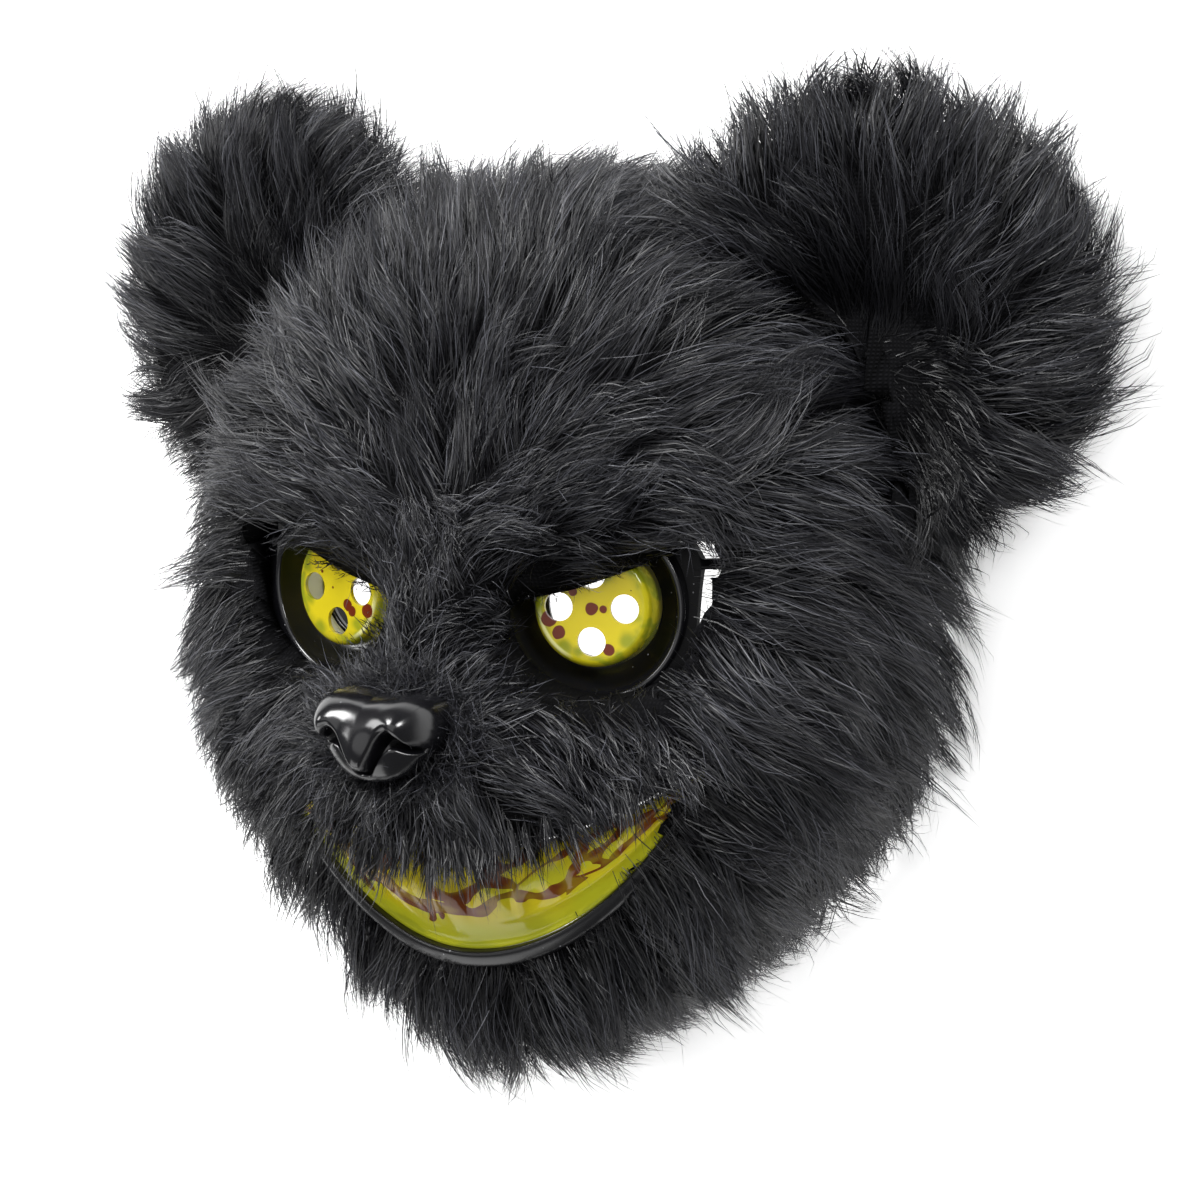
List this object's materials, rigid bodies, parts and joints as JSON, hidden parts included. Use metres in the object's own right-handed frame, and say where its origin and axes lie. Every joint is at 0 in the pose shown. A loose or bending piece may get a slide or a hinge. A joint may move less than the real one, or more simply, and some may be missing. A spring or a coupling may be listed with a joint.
{
  "type": "bear mask",
  "caption": "Loose costume mask of a grinning bear's face: long black fur over a hollow plastic shell, round ears, see-through eye caps and a pressed grin.",
  "frame": {"origin": "middle of the mask's footprint on the surface that it lies on, with its back rim down and its face up", "axes": "+Z comes out of the face, +Y runs from chin to crown, +X is the right-hand side of the face as it is looked at"},
  "size_m": [0.3498, 0.3124, 0.1549],
  "materials": {
    "fur": "long-pile black faux fur",
    "black_plastic": "glossy moulded plastic",
    "yellow_film": "glossy translucent yellow plastic with dark red paint"
  },
  "bodies": {
    "root": {"fur_cover": "fur", "ear_left": "fur", "ear_right": "fur", "face_shell": "black_plastic", "nose": "black_plastic", "mouth_insert": "yellow_film", "eye_lens_left": "yellow_film", "eye_lens_right": "yellow_film"}
  },
  "joints": []
}
